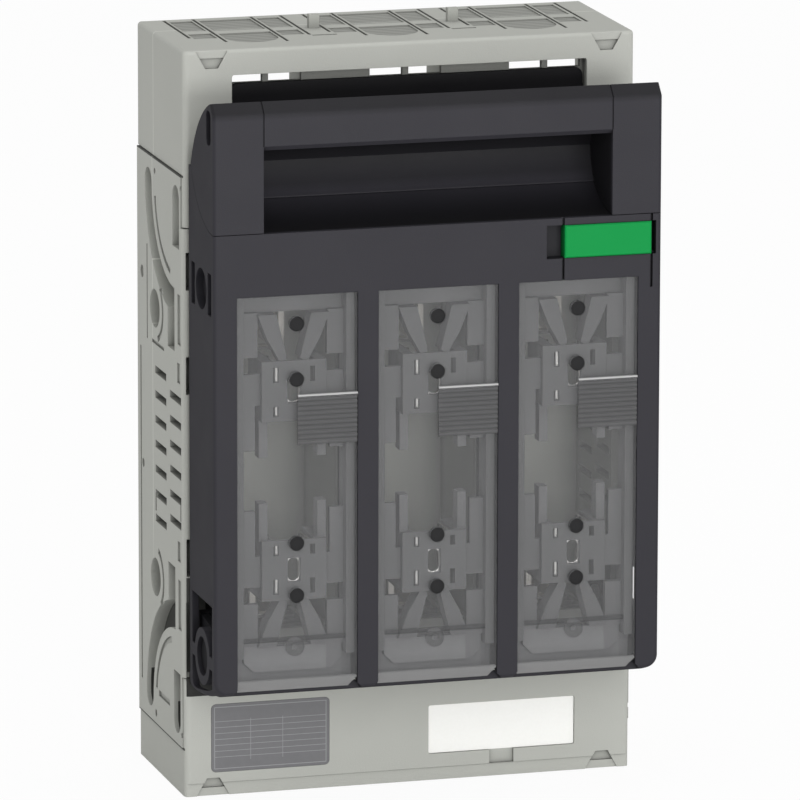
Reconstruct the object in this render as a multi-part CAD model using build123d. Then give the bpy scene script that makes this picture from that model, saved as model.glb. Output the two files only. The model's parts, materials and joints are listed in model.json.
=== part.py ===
from build123d import *
import os

# Three-pole knife-fuse switch disconnector, size 1, 250 A.
# Millimetres. X to the right seen from the front, -Y towards the front, +Z up.
# The origin is the middle of the four fixing holes, in the plane of the mounting face.

# Driving sizes of the whole device
pole_pitch = 56.7
phase_wall = 4.0
side_wall = 8.95
base_depth = 71.0
base_height = 229.4
top_cover_rise = 49.5
bottom_cover_rise = 19.1
lid_stand_off = 40.7
lid_inset = 1.75
fit_gap = 0.1

# Main sizes that follow from them
pole_x = [-pole_pitch, 0.0, pole_pitch]
wall_x = [-pole_pitch / 2, pole_pitch / 2]
bay_half = (pole_pitch - phase_wall) / 2
bay_side = pole_pitch + bay_half
half_width = bay_side + side_wall
base_half = base_height / 2
top_z = base_half + top_cover_rise
bottom_z = -base_half - bottom_cover_rise
lid_front = base_depth + lid_stand_off
lid_half = half_width - lid_inset

# Base housing
floor_front = 24.0
floor_thickness = 4.0
end_rim = 4.0
flange_radius = 2.5
inner_set_back = 5.0
divider_thickness = 3.0
divider_place = base_half - 30.7
fixing_rise = base_half - 38.7
fixing_bore = 6.5
fixing_head_bore = 11.5
fixing_head_seat = 12.0
fixing_pillar = 14.0
fixing_pillar_front = base_depth - 11.0
terminal_boss_wall = 4.0
terminal_boss_depth = 13.0
terminal_bore_depth = 14.5

# Side faces: places are measured from the front edge and from the end of the base
pocket_depth = 5.5
dark_depth = 8.0
channel_centre = (12.5, 10.9)
channel_radius = 40.6
channel_width = 10.8
channel_leg = (17.9, 71.3)
slot_place = 10.2
slot_width = 10.4
slot_span = (10.0, 29.5)
round_pocket = (43.5, 60.3)
round_pocket_diameter = 15.4
line_depth = 0.8
line_width = 2.4
line_arc_radius = 30.4
line_arc_span = (282, 70)
eyebrow_radius = 12.4
eyebrow_span = (130, 120)
edge_pockets = ((6.4, 78.9, 4.4, 8.0), (5.4, 57.5, 4.8, 20.0))
upper_lines = ((55.5, 55.7, 1.4, 38.0), (38.5, 74.0, 19.0, 1.4))
lower_lines = ((66.0, 81.7, 1.8, 136.0), (30.5, 14.0, 17.0, 2.4),
               (42.6, 91.1, 1.8, 7.2), (3.6, 95.7, 1.4, 8.0))
upper_marks = ((63.5, 49.2, 5.0), (43.0, 5.2, 2.4), (2.9, 4.9, 2.0))
lower_marks = ((43.7, 4.6, 3.0), (3.4, 5.3, 2.0), (62.6, 102.6, 3.6))
dark_parts = ((52.0, 11.0, 14.0, 17.5), (10.2, 10.6, 10.4, 13.0))
open_part = ((21.5, 49.5, 17.0, 12.5),)
vent_height = 3.0
vent_length = 17.4
vent_pitch = 10.0
vent_columns = ((34.5, 7), (11.5, 6))
flange_notch = (3.4, 9.0)
flange_notch_height = 15.0
flange_notch_places = (-base_half + 35.9, -37.0, 35.9, base_half - 37.3)

# Terminal covers
cover_inset = 0.55
cover_wall = 2.5
skirt_thickness = 3.0
skirt_back = base_depth - skirt_thickness
top_skirt_z = base_half - 20.5
bottom_skirt_z = -base_half + 29.2
cover_half = half_width - cover_inset
cover_top_radius = 1.5
cover_joint = 0.45
handle_slot_half = half_width - 20.1
handle_slot_low = base_half + 0.9
handle_slot_top = top_z - 10.1
handle_slot_radius = 1.0
inner_wall_front = base_depth - 7.0
sight_window = (13.3, 3.4)
sight_window_bar = 2.4
sight_window_z = top_z - 12.8
corner_notch_x = half_width - 12.0
corner_notch_top = 13.2
corner_notch_bottom = 5.1
corner_notch_height = 7.2
corner_notch_depth = (0.5, 1.5)
corner_notch_step = 3.2
knockout_slit = 1.2
knockout_depth = 1.2
knockout_slits = ((-24.6, 42.5), (-12.8, 54.0), (10.8, 58.0), (22.9, 46.5))
knockout_slit_end = 1.0
panel_depth = 0.5
panel_rear = 5.0
narrow_panels = ((-23.3, -14.1), (12.2, 21.2))
narrow_panel_rows = ((5.0, 28.0), (34.0, 45.0))
wide_panel = (-11.4, 9.6)
wide_panel_end = 29.0
lobe_place = (-0.9, 41.0)
lobe_size = (21.0, 11.5)
barrier_tab = (4.3, 2.6, 5.5)
barrier_tab_place = 31.5
barrier_slot = (10.0, 1.8)
barrier_slot_place = 48.2

# Plate and label on the bottom cover
plate_size = (48.3, 27.7)
plate_centre = (-half_width + 35.25, -base_half + 4.15)
plate_thickness = 0.5
plate_radius = 2.0
label_size = (60.4, 19.8)
label_centre = (half_width - 53.7, -base_half + 1.6)
label_thickness = 0.6
label_recess = 1.2
label_radius = 0.8
label_notch = (10.0, 6.0)
base_line_rise = 5.2
base_line_step = 0.5

# Contacts and terminals
bar_thickness = 4.0
bar_width = 25.0
bar_outer_end = base_half - 2.7
bar_front = floor_front + bar_thickness
jaw_place = base_half - 60.7
bar_inner_end = jaw_place - 12.0
jaw_length = 20.0
jaw_gap = 5.0
jaw_leaf = 2.5
jaw_front = base_depth - inner_set_back
jaw_lip = 4.0
jaw_lip_flare = 2.2
spring_band = 5.0
spring_gauge = 1.5
terminal_place = base_half - 15.7
bolt_diameter = 10.0
bolt_clearance = 11.0
bolt_length = 20.0
bolt_head_height = 6.4
hex_across_flats = 17.0
nut_height = 8.4
nut_pocket_clearance = 0.2
washer_diameter = 20.0
washer_thickness = 2.0

# Arc chutes
chute_outer = divider_place - 0.2
chute_inner = chute_outer - 14.8
chute_half_width = bay_half - 6.35
chute_wall = 2.0
chute_rear = 30.0
chute_front = base_depth - inner_set_back
chute_vent = (12.0, 3.0)
plate_gauge = 1.2
plate_count = 5
plate_first = 33.5
plate_last_gap = 1.3
plate_pitch = (chute_front - chute_wall - plate_last_gap - plate_gauge - plate_first) / (plate_count - 1)
plate_notch = 7.0

# Lid, swung at its foot
lid_skin = 2.5
lid_side_wall = 2.65
lid_back = base_depth + 3.5
lid_bottom = -base_half + 24.8
lid_foot_sag = 2.0
lid_toe = lid_bottom + 7.1
lid_edge_radius = 1.5
lid_foot_radius = 5.0
lid_foot_back = lid_front - 26.7
lid_foot_wall = 2.2
lid_inner = lid_front - lid_skin
lid_shoulder = base_half + 5.9
scoop_centre_y = -lid_front + 0.2
scoop_centre_z = lid_shoulder + 15.2
scoop_radius = 36.75
bar_foot_bevel = 1.6
pivot_y = -lid_front + 18.5
pivot_z = lid_bottom + 18.8
eye_bore = 15.5
eye_ring = 22.6
eye_length = 3.6
eye_window_y = (-lid_front + 3.3, -lid_back - 3.7)
eye_window_z = (lid_bottom - 1.0, pivot_z + 23.1)
eye_window_rim = 3.0
eye_rib = 5.0
upper_eye_z = lid_shoulder - 45.4
upper_eye_bore = 16.2
upper_eye_ring = 19.8
upper_eye_floor = 1.2
upper_eye_depth = 3.2
upper_slot_width = 5.4
upper_slot_z = (upper_eye_z - 8.4, upper_eye_z + 8.2)
swing_relief = 27.8
foot_gap_front = -lid_front + 7.5
foot_gap_rise = 7.2
foot_gap_side = 0.8
foot_opening_rise = 4.0
latch_wall_half = handle_slot_half - 0.5
latch_wall_y = (-base_depth + 4.0, -base_depth + 6.0)
latch_wall_top = handle_slot_top - 4.2
latch_floor = (lid_shoulder - 2.6, lid_shoulder - 0.2)
latch_radius = 3.0
rib_thickness = 1.6
rib_gap = 1.8
rib_back = lid_back + 1.5
rib_foot = lid_toe + 0.8

# Sliding test windows
window_half = (pole_pitch - 8.3) / 2
window_top = lid_shoulder - 46.2
rib_offset = window_half + rib_gap
grip_place = jaw_place - 18.4
window_play = 0.15
pane_front = lid_front - 0.4
pane_thickness = 2.2
pane_back = pane_front - pane_thickness
pane_bottom = lid_toe + 0.5
pane_steps = (4.1, 3.2, 1.9)
pane_step_depth = 0.35
pane_corner = 3.4
pane_flange = 1.4
pane_flange_gauge = 1.2
pane_flange_ends = (lid_toe + 11.4, window_top + 7.1)
flange_back = pane_back - pane_flange_gauge
test_hole = 6.0
test_hole_places = (jaw_place + 8.8, grip_place + 5.3, -grip_place + 11.4, -jaw_place + 9.1)
plug_play = 0.1
plug_thickness = 1.6
plug_recess = 0.9
thumb_pad_x = (0.0, window_half - 0.3)
thumb_pad_z = (grip_place - 20.4, grip_place - 1.6)
thumb_pad_proud = 0.4
thumb_rib_count = 10
thumb_rib_height = 0.6
thumb_ledge = (1.2, 1.4)
detent_boss = 7.5
detent_bore = 2.6
detent_boss_z = lid_toe + 16.7
detent_boss_height = 1.2
pane_rib_z = (lid_toe + 19.1, lid_toe + 20.9)
pane_rib_gauge = 0.9

# Fuse-link carriers and grips inside the lid
rail_outer = window_half - 0.2
rail_inner = rail_outer - 3.5
pane_rib_half = rail_inner - 0.2
rail_front = flange_back - 0.2
rail_back = rail_front - 9.7
rail_ends = (lid_toe + 12.8, window_top + 5.6)
web_front = lid_front - 7.7
web_thickness = 2.5
plate_inner = 13.9
shoulder_plate_z = (grip_place + 13.4, grip_place + 31.0)
guide_strip_x = 15.0
guide_strip_z = (grip_place - 23.6, grip_place + 6.8)
guide_post_x = (10.0, 13.5)
guide_post_end = grip_place - 26.6
guide_link_z = grip_place - 5.6
funnel_front = web_front + 2.0
funnel_back = web_front - 6.0
funnel_rise = ((7.0, 30.4), (2.6, 12.9), (5.2, 10.9), (10.5, 20.4), (14.4, 30.4))
grip_half_length = 12.0
grip_half_width = 13.0
grip_gap_half = 7.0
grip_gauge = 1.4
grip_bend = 2.2
grip_front = lid_front - 6.7
grip_back = grip_front - 19.0
grip_lip = 1.2
grip_lip_place = 4.0
grip_face_gauge = 1.6
clip_slot_x = (6.3, 8.4)
clip_slot_z = ((-10.0, -6.0), (3.5, 9.5))
probe_play = 0.6
probe_slot = (4.6, 9.0)
carrier_head = (window_top + 7.6, window_top + 17.6)
carrier_head_front = lid_front - 9.2
carrier_head_back = carrier_head_front - 3.5
carrier_screw_x = window_half - 3.7
carrier_boss = 6.6
carrier_screw_front = lid_front - 6.8
carrier_foot_half = window_half - 9.2
carrier_foot_y = (-lid_front + 9.7, -lid_front + 18.7)
carrier_foot_low = lid_toe - 0.2
carrier_foot_wall = 2.0
carrier_rim = 4.0
head_plate_set_back = 3.0
head_plate_gauge = 2.0
foot_plate_half = window_half - 4.5
foot_plate_z = (lid_toe + 6.4, lid_toe + 16.4)
foot_plate_corner = 4.0
screw_shank = 3.0
screw_head = 5.6
screw_head_height = 2.0
screw_play = 0.05
screw_tip_play = 0.2
screw_clearance = 0.4

# Handle
cheek_width = 20.15
cheek_inner = lid_half - cheek_width
handle_top = lid_shoulder + 29.5
handle_brow = 4.2
handle_toe_z = lid_shoulder + 1.2
handle_bulge = 3.3
grip_low = handle_top - 18.7
grip_low_bevel = 1.8
grip_wall = 3.0
handle_seam = 0.25
handle_edge_radius = 1.5
handle_groove = 0.5
recess_foot = 23.2
recess_bend = (1.0, -0.45)
cheek_slot_y = (-lid_front + 3.7, -lid_front + 10.3)
cheek_slot_z = (lid_shoulder + 12.8, lid_shoulder + 26.4)
cheek_slot_depth = 6.0
cheek_slot_radius = 2.5

# Locking slide on the lid front
lock_pocket_x = (lid_half - 46.65, lid_half - 2.25)
lock_pocket_z = (window_top + 8.7, window_top + 21.9)
lock_pocket_depth = 5.2
lock_wall = 1.1
lock_floor = 1.5
lock_slide_x = (lid_half - 39.45, lid_half - 4.15)
lock_proud = 0.6
lock_play = 0.15
lock_rim = 0.5
lock_stem_x = (lid_half - 30.25, lid_half - 19.25)
lock_stem_half = 1.7
lock_head_half = 4.2
lock_head_gauge = 1.2
lock_travel = 6.9
lock_outline_width = 1.0
lock_outline_depth = 1.6
lock_outline_x = (lid_half - 39.95, lid_half - 4.05)
lock_outline_z = (window_top - 4.4, window_top + 25.6)

# Hinge brackets
bracket_inner = bay_side - 3.05
bracket_gauge = 3.0
bracket_arm = (bay_side + 0.25, lid_half - eye_length - 0.35)
bracket_z = (pivot_z - 7.9, pivot_z + 13.1)
bracket_tail = base_depth - 31.5
bracket_block_front = base_depth + 6.0
bracket_eye = 22.0
trunnion_clearance = 0.05
trunnion_radius = eye_bore / 2 - trunnion_clearance
trunnion_end = lid_half - 1.6
bracket_screw_z = (pivot_z - 2.9, pivot_z + 8.1)
bracket_screw_y = -base_depth + 7.0
bracket_screw_tip = bay_side + 2.95


def block(x, y, z):
    """A box between two values on each axis."""
    size = (abs(x[1] - x[0]), abs(y[1] - y[0]), abs(z[1] - z[0]))
    return Pos(sum(x) / 2, sum(y) / 2, sum(z) / 2) * Box(*size)


def rod_x(x, y, z, diameter):
    """A round bar along X between two values of x."""
    return Pos(sum(x) / 2, y, z) * Rot(0, 90, 0) * Cylinder(diameter / 2, abs(x[1] - x[0]))


def rod_y(x, y, z, diameter):
    """A round bar along Y between two values of y."""
    return Pos(x, sum(y) / 2, z) * Rot(90, 0, 0) * Cylinder(diameter / 2, abs(y[1] - y[0]))


def from_side(outline, x):
    """A side outline, drawn in y and z, drawn out between two values of x."""
    return extrude(Plane.YZ.offset(min(x)) * outline, abs(x[1] - x[0]), dir=(1, 0, 0))


def from_front(outline, y):
    """A front outline, drawn in x and z, drawn out between two values of y."""
    return extrude(Plane.XZ.offset(-max(y)) * outline, abs(y[1] - y[0]), dir=(0, -1, 0))


def from_above(outline, z):
    """A plan outline, drawn in x and y, drawn out between two values of z."""
    return extrude(Plane.XY.offset(min(z)) * outline, abs(z[1] - z[0]), dir=(0, 0, 1))


def both_sides(shape):
    """A shape with its mirror image on the other side of the device."""
    return shape + mirror(shape, about=Plane.YZ)


def rounded_rectangle(x, z, radius):
    """A rectangle with round corners between two values on each axis."""
    return Pos(sum(x) / 2, sum(z) / 2) * RectangleRounded(abs(x[1] - x[0]), abs(z[1] - z[0]), radius)


def centred(centre, size):
    """The two values on each axis of a rectangle given by its centre and size."""
    return ((centre[0] - size[0] / 2, centre[0] + size[0] / 2),
            (centre[1] - size[1] / 2, centre[1] + size[1] / 2))


def front_corners(solid):
    """The two upright edges at the front of a box."""
    return solid.edges().filter_by(Axis.Z).group_by(Axis.Y)[0]


def side_point(from_front_edge, from_end):
    """A point of a side face, in y and z, by its distances from the front edge and the upper end."""
    return (-base_depth + from_front_edge, base_half - from_end)


def ring_sector(radius, ring_width, start, sweep):
    """A curved band about the middle of the side channel, in y and z."""
    path = CenterArc(side_point(*channel_centre), radius, start, sweep)
    return trace(path, ring_width)


def side_rectangles(places):
    """Rectangles on a side face, each given by its place, its width and its height."""
    faces = [Pos(*side_point(front, end)) * Rectangle(width, height) for front, end, width, height in places]
    return Sketch() + faces


def side_circles(places):
    """Circles on a side face, each given by its place and its diameter."""
    faces = [Pos(*side_point(front, end)) * Circle(diameter / 2) for front, end, diameter in places]
    return Sketch() + faces


def side_outlines():
    """The pockets and the shallow lines of one end of a side face, in y and z."""
    centre = side_point(*channel_centre)
    channel = ring_sector(channel_radius, channel_width, 270, 90)
    channel += Pos(centre[0] + channel_radius, centre[1]) * Circle(channel_width / 2)
    leg_y, leg_end = side_point(*channel_leg)
    leg_top = centre[1] - channel_radius + channel_width / 2
    channel += Pos(leg_y, (leg_top + leg_end) / 2) * Rectangle(channel_width, leg_top - leg_end)
    slot_y, slot_round_end = side_point(slot_place, slot_span[0])
    slot_length = slot_span[1] - slot_span[0]
    slot = Pos(slot_y, slot_round_end - slot_length / 2) * Rectangle(slot_width, slot_length)
    slot += Pos(slot_y, slot_round_end) * Circle(slot_width / 2)
    pocket = Pos(*side_point(*round_pocket)) * Circle(round_pocket_diameter / 2)
    thin_arc = ring_sector(line_arc_radius, line_width, *line_arc_span)
    eyebrow = trace(CenterArc(side_point(*round_pocket), eyebrow_radius, *eyebrow_span), line_width)
    return channel + slot + pocket, thin_arc + eyebrow + side_rectangles(edge_pockets)


def side_recesses():
    """Everything cut into the two side faces of the base."""
    deep, shallow = side_outlines()
    line_range = (half_width - line_depth, half_width + 1)
    both = from_side(deep, (half_width - pocket_depth, half_width + 1)) + from_side(shallow, line_range)
    upper = from_side(side_rectangles(upper_lines) + side_circles(upper_marks), line_range)
    lower = from_side(side_rectangles(lower_lines) + side_circles(lower_marks), line_range)
    lower += from_side(deep & side_rectangles(dark_parts), (half_width - dark_depth, half_width + 1))
    lower += from_side(deep & side_rectangles(open_part), (bay_side - 1, half_width + 1))
    return both_sides(both + upper + mirror(both + lower, about=Plane.XY))


def side_vents():
    """Two columns of cooling slots through each side wall."""
    cuts = []
    through = (bay_side - 1, half_width + 1)
    for place, count in vent_columns:
        centre_y = -base_depth + place
        for i in range(count):
            z = (i - (count - 1) / 2) * vent_pitch
            y = (centre_y - vent_length / 2, centre_y + vent_length / 2)
            cuts.append(block(through, y, (z - vent_height / 2, z + vent_height / 2)))
    return both_sides(Part() + cuts)


def swing_clearance():
    """Round reliefs in which the lower corners of the lid's side walls turn."""
    reach = (lid_half - eye_length - 0.5, lid_half + 0.5)
    return both_sides(rod_x(reach, pivot_y, pivot_z, 2 * swing_relief))


def terminal_seat(x, place):
    """The boss behind a terminal and the pocket and bore that it needs, as two solids."""
    back = floor_front - floor_thickness
    reach = hex_across_flats / 2 + terminal_boss_wall
    boss = block((x - reach, x + reach), (-back, -back + terminal_boss_depth), (place - reach, place + reach))
    pocket = RegularPolygon(hex_across_flats / 2 + nut_pocket_clearance, 6, major_radius=False)
    pocket = from_front(Pos(x, place) * pocket, (-floor_front, -floor_front + nut_height + nut_pocket_clearance))
    return boss, pocket + rod_y(x, (-floor_front, -floor_front + terminal_bore_depth), place, bolt_clearance)


def base_housing():
    """The moulded base: three bays on a raised floor, open in front and hollow behind."""
    body = block((-half_width, half_width), (-base_depth, 0), (-base_half, base_half))
    body = fillet(front_corners(body), flange_radius)
    for x in pole_x:
        bay = (x - bay_half, x + bay_half)
        body -= block(bay, (-base_depth - 1, -floor_front), (-base_half - 1, base_half + 1))
        back = floor_front - floor_thickness
        body -= block(bay, (-back, 1), (-base_half + end_rim, base_half - end_rim))
        for side in (-1, 1):
            divider = (side * divider_place, side * (divider_place + divider_thickness))
            body += block(bay, (-base_depth + inner_set_back, -floor_front), divider)
            notch = (x - bar_width / 2 - fit_gap, x + bar_width / 2 + fit_gap)
            body -= block(notch, (-bar_front - fit_gap, -floor_front), divider)
            boss, pocket = terminal_seat(x, side * terminal_place)
            body = body + boss - pocket
    front = (-base_depth - 1, -skirt_back)
    body -= block((-half_width - 1, half_width + 1), front, (top_skirt_z, base_half + 1))
    body -= block((-half_width - 1, half_width + 1), front, (-base_half - 1, bottom_skirt_z))
    for x in wall_x:
        for z in (-fixing_rise, fixing_rise):
            body += rod_y(x, (-fixing_pillar_front, 0), z, fixing_pillar)
            body -= rod_y(x, (-fixing_pillar_front - 1, 1), z, fixing_bore)
            body -= rod_y(x, (-fixing_pillar_front - 1, -fixing_head_seat), z, fixing_head_bore)
    body -= side_recesses()
    body -= side_vents()
    body -= swing_clearance()
    for z in bracket_screw_z:
        pilot = (bay_side - 1, bracket_screw_tip + screw_tip_play)
        body -= both_sides(rod_x(pilot, bracket_screw_y, z, screw_shank + 2 * screw_play))
    for z in flange_notch_places:
        gap = (lid_half - flange_notch[0], lid_half + 0.3)
        height = (z - flange_notch_height / 2, z + flange_notch_height / 2)
        body -= both_sides(block(gap, (-base_depth - 1, -base_depth + flange_notch[1]), height))
    return body


def corner_notch(face_z, direction, front):
    """One tapered finger notch in the front edge of a cover, deeper in its inner half."""
    top = corner_notch_top / 2
    low = corner_notch_bottom / 2
    end = face_z - direction * corner_notch_height
    outline = Polygon((-top, face_z + direction), (top, face_z + direction), (top, face_z),
                      (low, end), (-low, end), (-top, face_z), align=None)
    shallow, deep = corner_notch_depth
    notch = from_front(outline, (front - 1, front + shallow))
    pocket = from_front(outline, (front - 1, front + deep))
    inner_half = (face_z - direction * corner_notch_step, end)
    pocket &= block((-top, top), (front - 1, front + deep), inner_half)
    return Pos(corner_notch_x, 0, 0) * (notch + pocket)


def knockouts(face_z, direction):
    """The scored cable knock-outs of one pole in the end face of a cover."""
    deep = (face_z - direction * knockout_depth, face_z + direction)
    low = (face_z - direction * panel_depth, face_z + direction)
    cuts = []
    for x, reach in knockout_slits:
        slit = (x - knockout_slit / 2, x + knockout_slit / 2)
        cuts.append(block(slit, (-reach, -knockout_slit_end), deep))
    for panel in narrow_panels:
        for row in narrow_panel_rows:
            cuts.append(block(panel, (-row[1], -row[0]), low))
    cuts.append(block(wide_panel, (-wide_panel_end, -panel_rear), low))
    width, height = lobe_size
    lobe = Rectangle(width, height) + Pos(0, -height / 2) * Circle(width / 2)
    cuts.append(from_above(Pos(lobe_place[0], -lobe_place[1]) * lobe, low))
    return Part() + cuts


def cover_shell(z_joint, z_end, z_skirt):
    """The hollow box of a terminal cover with the skirt that laps over the base front."""
    body = block((-cover_half, cover_half), (-base_depth, 0), (z_joint, z_end))
    body += block((-cover_half, cover_half), (-base_depth, -skirt_back - fit_gap), (z_skirt, z_joint))
    body = fillet(front_corners(body), flange_radius)
    direction = 1 if z_end > z_joint else -1
    inside = (-cover_half + cover_wall, cover_half - cover_wall)
    body -= block(inside, (-skirt_back, 1), (z_joint - direction, z_end - direction * cover_wall))
    for x in wall_x:
        wall = (x - cover_wall / 2, x + cover_wall / 2)
        body += block(wall, (-inner_wall_front + 1, 0), (z_joint, z_end - direction * cover_wall))
    return body


def top_terminal_cover():
    """The upper terminal cover, with the wide slot that the lid's catch wall enters."""
    joint = base_half + cover_joint
    body = cover_shell(joint, top_z, top_skirt_z + cover_joint)
    front_top = body.edges().filter_by(Axis.X).filter_by(
        lambda e: e.center().Z > top_z - 0.01 and e.center().Y < -base_depth + 0.01)
    body = fillet(front_top, cover_top_radius)
    inside = (-cover_half + cover_wall, cover_half - cover_wall)
    inner_wall = (-inner_wall_front, -inner_wall_front + cover_wall)
    body += block(inside, inner_wall, (joint, top_z - cover_wall))
    slot = rounded_rectangle((-handle_slot_half, handle_slot_half),
                             (handle_slot_low, handle_slot_top), handle_slot_radius)
    body -= from_front(slot, (-base_depth - 1, -skirt_back + 1))
    for x in pole_x:
        for side in (-1, 1):
            near = x + side * sight_window_bar / 2
            gap = sorted((near, near + side * sight_window[0]))
            height = (sight_window_z - sight_window[1] / 2, sight_window_z + sight_window[1] / 2)
            body -= block(gap, (-inner_wall_front - 1, -inner_wall_front + cover_wall + 1), height)
        body -= Pos(x, 0, 0) * knockouts(top_z, 1)
    body -= both_sides(corner_notch(top_z, 1, -base_depth))
    for x in wall_x:
        tab = (x - barrier_tab[0] / 2, x + barrier_tab[0] / 2)
        depth = (-barrier_tab_place - barrier_tab[1] / 2, -barrier_tab_place + barrier_tab[1] / 2)
        body += block(tab, depth, (top_z - 1, top_z + barrier_tab[2]))
        slit = (x - barrier_slot[0] / 2, x + barrier_slot[0] / 2)
        depth = (-barrier_slot_place - barrier_slot[1] / 2, -barrier_slot_place + barrier_slot[1] / 2)
        body -= block(slit, depth, (top_z - knockout_depth, top_z + 1))
    return body


def bottom_terminal_cover():
    """The lower terminal cover, with seats for the plate and the label."""
    joint = -base_half - cover_joint
    body = cover_shell(joint, bottom_z, bottom_skirt_z - cover_joint)
    for x in pole_x:
        body -= Pos(x, 0, 0) * knockouts(bottom_z, -1)
    body -= both_sides(corner_notch(bottom_z, -1, -base_depth + base_line_step))
    body -= block((-half_width, half_width), (-base_depth - 1, -base_depth + base_line_step),
                  (bottom_z - 1, bottom_z + base_line_rise))
    seat = rounded_rectangle(*centred(plate_centre, plate_size), plate_radius)
    body -= from_front(seat, (-base_depth - 1, -base_depth + plate_thickness))
    seat = rounded_rectangle(*centred(label_centre, label_size), label_radius)
    body -= from_front(seat, (-base_depth - 1, -base_depth + label_recess))
    notch_top = label_centre[1] - label_size[1] / 2 + 0.5
    body -= block((label_centre[0] - label_notch[0] / 2, label_centre[0] + label_notch[0] / 2),
                  (-base_depth - 1, -base_depth + label_recess), (notch_top - label_notch[1], notch_top))
    return body - swing_clearance()


def rating_plate():
    """The bare plate let into the bottom cover."""
    size = [length - 2 * fit_gap for length in plate_size]
    face = rounded_rectangle(*centred(plate_centre, size), plate_radius - fit_gap)
    return from_front(face, (-base_depth, -base_depth + plate_thickness))


def marking_label():
    """The bare white label in the bottom cover."""
    size = [length - 2 * fit_gap for length in label_size]
    face = rounded_rectangle(*centred(label_centre, size), label_radius - fit_gap)
    seat = -base_depth + label_recess
    return from_front(face, (seat - label_thickness, seat))


def contact(x, side):
    """One copper contact: terminal bar with the two leaves of the knife jaw."""
    ends = (side * bar_inner_end, side * bar_outer_end)
    body = block((x - bar_width / 2, x + bar_width / 2), (-bar_front, -floor_front), ends)
    body -= rod_y(x, (-bar_front - 1, -floor_front + 1), side * terminal_place, bolt_clearance)
    jaw_z = (side * jaw_place - jaw_length / 2, side * jaw_place + jaw_length / 2)
    inner = jaw_gap / 2
    outer = inner + jaw_leaf
    straight = -(jaw_front - jaw_lip)
    leaf = Polygon((inner, -bar_front + 0.5), (outer, -bar_front + 0.5), (outer, straight),
                   (outer + jaw_lip_flare, -jaw_front), (inner + jaw_lip_flare, -jaw_front),
                   (inner, straight), align=None)
    leaf = from_above(leaf, jaw_z)
    return body + Pos(x, 0, 0) * (leaf + mirror(leaf, about=Plane.YZ))


def jaw_spring(x, side):
    """A steel band round both leaves of a jaw, just behind the flared lips."""
    half_x = jaw_gap / 2 + jaw_leaf + fit_gap / 2
    half_z = jaw_length / 2 + fit_gap / 2
    band = Rectangle(2 * (half_x + spring_gauge), 2 * (half_z + spring_gauge))
    band = fillet(band.vertices(), spring_gauge) - Rectangle(2 * half_x, 2 * half_z)
    front = -(jaw_front - jaw_lip - 1)
    return from_front(Pos(x, side * jaw_place) * band, (front, front + spring_band))


def terminal_bolts():
    """Six M10 hexagon bolts of the terminals, heads to the front."""
    bolts = []
    for x in pole_x:
        for side in (-1, 1):
            seat = -bar_front - washer_thickness
            head = RegularPolygon(hex_across_flats / 2, 6, major_radius=False)
            head = from_front(Pos(x, side * terminal_place) * head, (seat - bolt_head_height, seat))
            shank = rod_y(x, (seat, seat + bolt_length), side * terminal_place, bolt_diameter)
            bolts.append(head + shank)
    return Compound(children=bolts)


def terminal_washers():
    """Six plain washers under the bolt heads."""
    rings = []
    for x in pole_x:
        for side in (-1, 1):
            depth = (-bar_front - washer_thickness, -bar_front)
            ring = rod_y(x, depth, side * terminal_place, washer_diameter)
            rings.append(ring - rod_y(x, (-bar_front - 9, 0), side * terminal_place, bolt_clearance))
    return Compound(children=rings)


def terminal_nuts():
    """Six hexagon nuts held in the pockets of the base behind the bars."""
    nuts = []
    for x in pole_x:
        for side in (-1, 1):
            nut = RegularPolygon(hex_across_flats / 2, 6, major_radius=False)
            nut = from_front(Pos(x, side * terminal_place) * nut, (-floor_front, -floor_front + nut_height))
            nuts.append(nut - rod_y(x, (-floor_front - 1, 0), side * terminal_place,
                                    bolt_diameter + 2 * fit_gap))
    return Compound(children=nuts)


def arc_chute(x, side):
    """The moulded chamber beside a jaw, open to it, with vents in its front."""
    span = (side * chute_inner, side * chute_outer)
    sides = (x - chute_half_width, x + chute_half_width)
    body = block(sides, (-chute_front, -chute_rear), span)
    inside = (sides[0] + chute_wall, sides[1] - chute_wall)
    body -= block(inside, (-chute_front + chute_wall, -chute_rear + 1),
                  (side * (chute_inner - 1), side * (chute_outer - chute_wall)))
    for offset in (-chute_half_width / 2, chute_half_width / 2):
        gap = (x + offset - chute_vent[0] / 2, x + offset + chute_vent[0] / 2)
        middle = side * (chute_inner + chute_outer) / 2
        height = (middle - chute_vent[1] / 2, middle + chute_vent[1] / 2)
        body -= block(gap, (-chute_front - 1, -chute_front + chute_wall + 1), height)
    return body


def deion_plates(x, side):
    """The stack of notched steel plates held in one arc chute."""
    half = chute_half_width - chute_wall
    low = chute_inner + 1
    high = chute_outer - chute_wall
    plates = []
    outline = Polygon((-half, low), (-half, high), (half, high), (half, low), (plate_notch, low),
                      (plate_notch / 3, low + plate_notch), (-plate_notch / 3, low + plate_notch),
                      (-plate_notch, low), align=None)
    for i in range(plate_count):
        y = -plate_first - i * plate_pitch
        plate = from_front(outline, (y - plate_gauge, y))
        if side < 0:
            plate = mirror(plate, about=Plane.XY)
        plates.append(Pos(x, 0, 0) * plate)
    return Compound(children=plates)


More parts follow.
